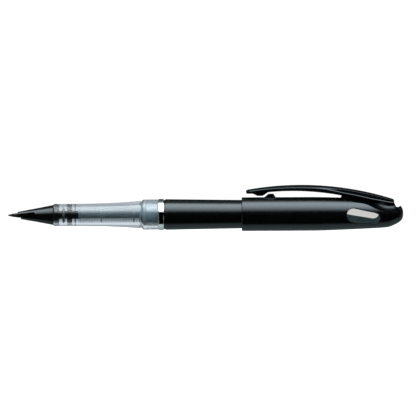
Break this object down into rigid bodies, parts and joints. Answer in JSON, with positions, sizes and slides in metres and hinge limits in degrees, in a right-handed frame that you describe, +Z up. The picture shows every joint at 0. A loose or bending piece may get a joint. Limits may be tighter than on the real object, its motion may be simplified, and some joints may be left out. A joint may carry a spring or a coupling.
{
  "type": "drawing pen",
  "caption": "Slim drawing pen with a pointed plastic nib, a clear smoke grip, a bright trim ring, a satin black barrel, and a black cap with an arched clip posted on its tail.",
  "frame": {"origin": "on the surface that the pen lies on, under the middle of its length and width: the pen's axis is 6.5 mm above it", "axes": "+X along the pen from the writing point to the cap's closed end, +Z up through the clip, +Y to the pen's far side"},
  "size_m": [0.1526, 0.013, 0.0177],
  "materials": {
    "nib_black": "matte",
    "holder_black": "gloss",
    "fibre_core": "matte",
    "collector_grey": "matte",
    "seal_rubber": "matte",
    "seal_grey": "matte",
    "smoke_clear": "gloss",
    "reservoir_clear": "gloss",
    "bright_chrome": "polished",
    "satin_black": "satin",
    "liner_black": "satin",
    "window_clear": "gloss"
  },
  "bodies": {
    "barrel": {"barrel": "satin_black", "tail_plug": "satin_black"},
    "trim_ring": {"trim_ring": "bright_chrome"},
    "section": {"grip_sleeve": "smoke_clear", "nib": "nib_black", "nib_holder": "holder_black", "capillary_core": "fibre_core", "collector": "collector_grey", "front_seal": "seal_rubber", "rear_seal": "seal_grey", "retaining_ring": "holder_black", "reservoir": "reservoir_clear", "reservoir_plug": "holder_black"},
    "cap": {"cap_shell": "satin_black", "inner_cap": "liner_black", "window_left": "window_clear", "window_right": "window_clear", "clip_foot": "satin_black"},
    "clip": {"clip_arm": "satin_black"}
  },
  "joints": [
    {"name": "section_turn", "type": "hinge", "parent": "barrel", "child": "trim_ring", "pos_m": [-0.01615, 0, 0.0065], "axis": [-1, 0, 0], "range_deg": [0, 720]},
    {"name": "section_advance", "type": "slide", "parent": "trim_ring", "child": "section", "axis": [-1, 0, 0], "range_m": [0, 0.005]},
    {"name": "cap_slide", "type": "slide", "parent": "barrel", "child": "cap", "axis": [1, 0, 0], "range_m": [0, 0.046]},
    {"name": "clip_flex", "type": "hinge", "parent": "cap", "child": "clip", "pos_m": [0.05335, 0, 0.01495], "axis": [0, 1, 0], "range_deg": [0, 4.5], "stiffness_Nm_per_rad": 2.2}
  ],
  "couplings": [
    {"joint": "section_turn", "follows": "section_advance", "rad_per_m": 2513.3}
  ]
}
